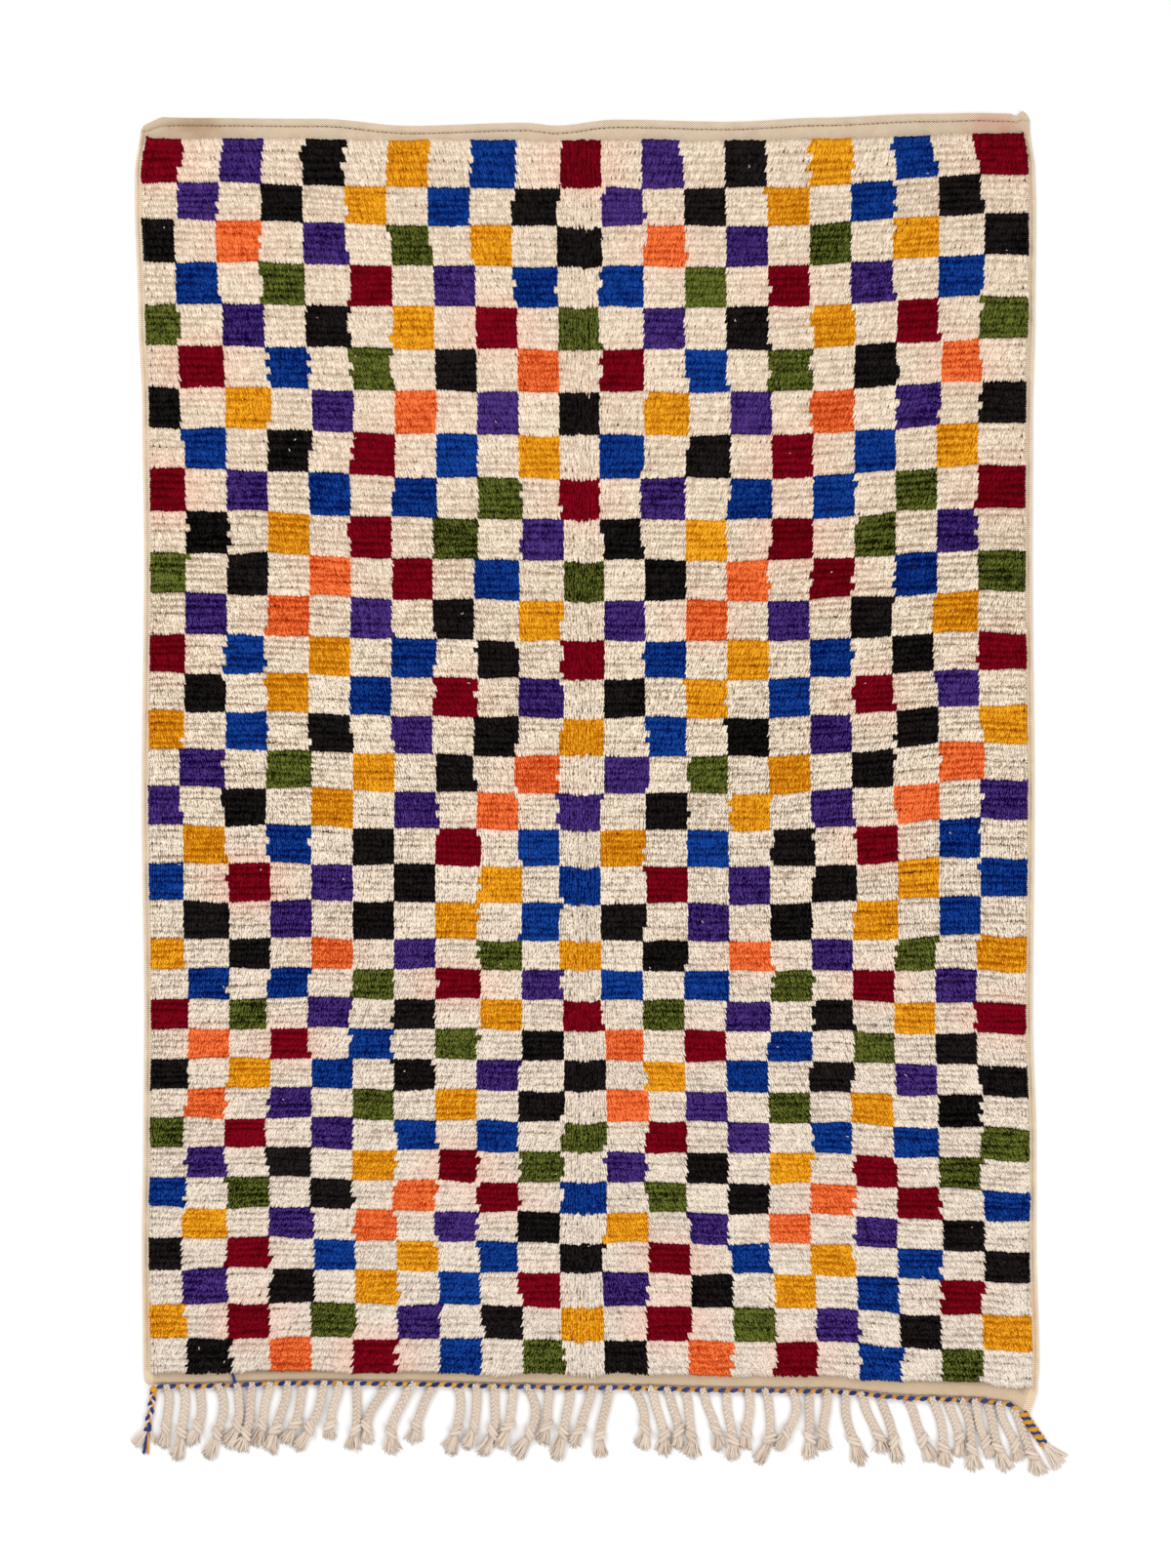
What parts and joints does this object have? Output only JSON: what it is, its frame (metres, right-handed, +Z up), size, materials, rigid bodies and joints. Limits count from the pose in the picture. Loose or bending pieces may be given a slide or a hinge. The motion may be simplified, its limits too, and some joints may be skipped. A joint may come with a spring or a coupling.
{
  "type": "berber rug",
  "caption": "Hand-knotted wool rug laid flat, with a checkerboard pile field, flat-woven ends, a folded hem, a twined cord and a plaited fringe.",
  "frame": {"origin": "on the underside, in the middle of the woven piece without its fringe", "axes": "+X across the rug, +Y along it towards the hemmed end, +Z up out of the pile"},
  "size_m": [1.0513, 1.5335, 0.016],
  "materials": {
    "wool_pile": "short knotted wool pile in cream and dyed checks, on a beige flat weave",
    "warp_cotton": "matte plaited warp yarn",
    "cord_yarn": "matte navy and mustard yarn"
  },
  "bodies": {
    "root": {"rug_body": "wool_pile", "fringe": "warp_cotton", "twined_cord": "cord_yarn", "left_tail": "cord_yarn", "right_tail": "cord_yarn"}
  },
  "joints": []
}
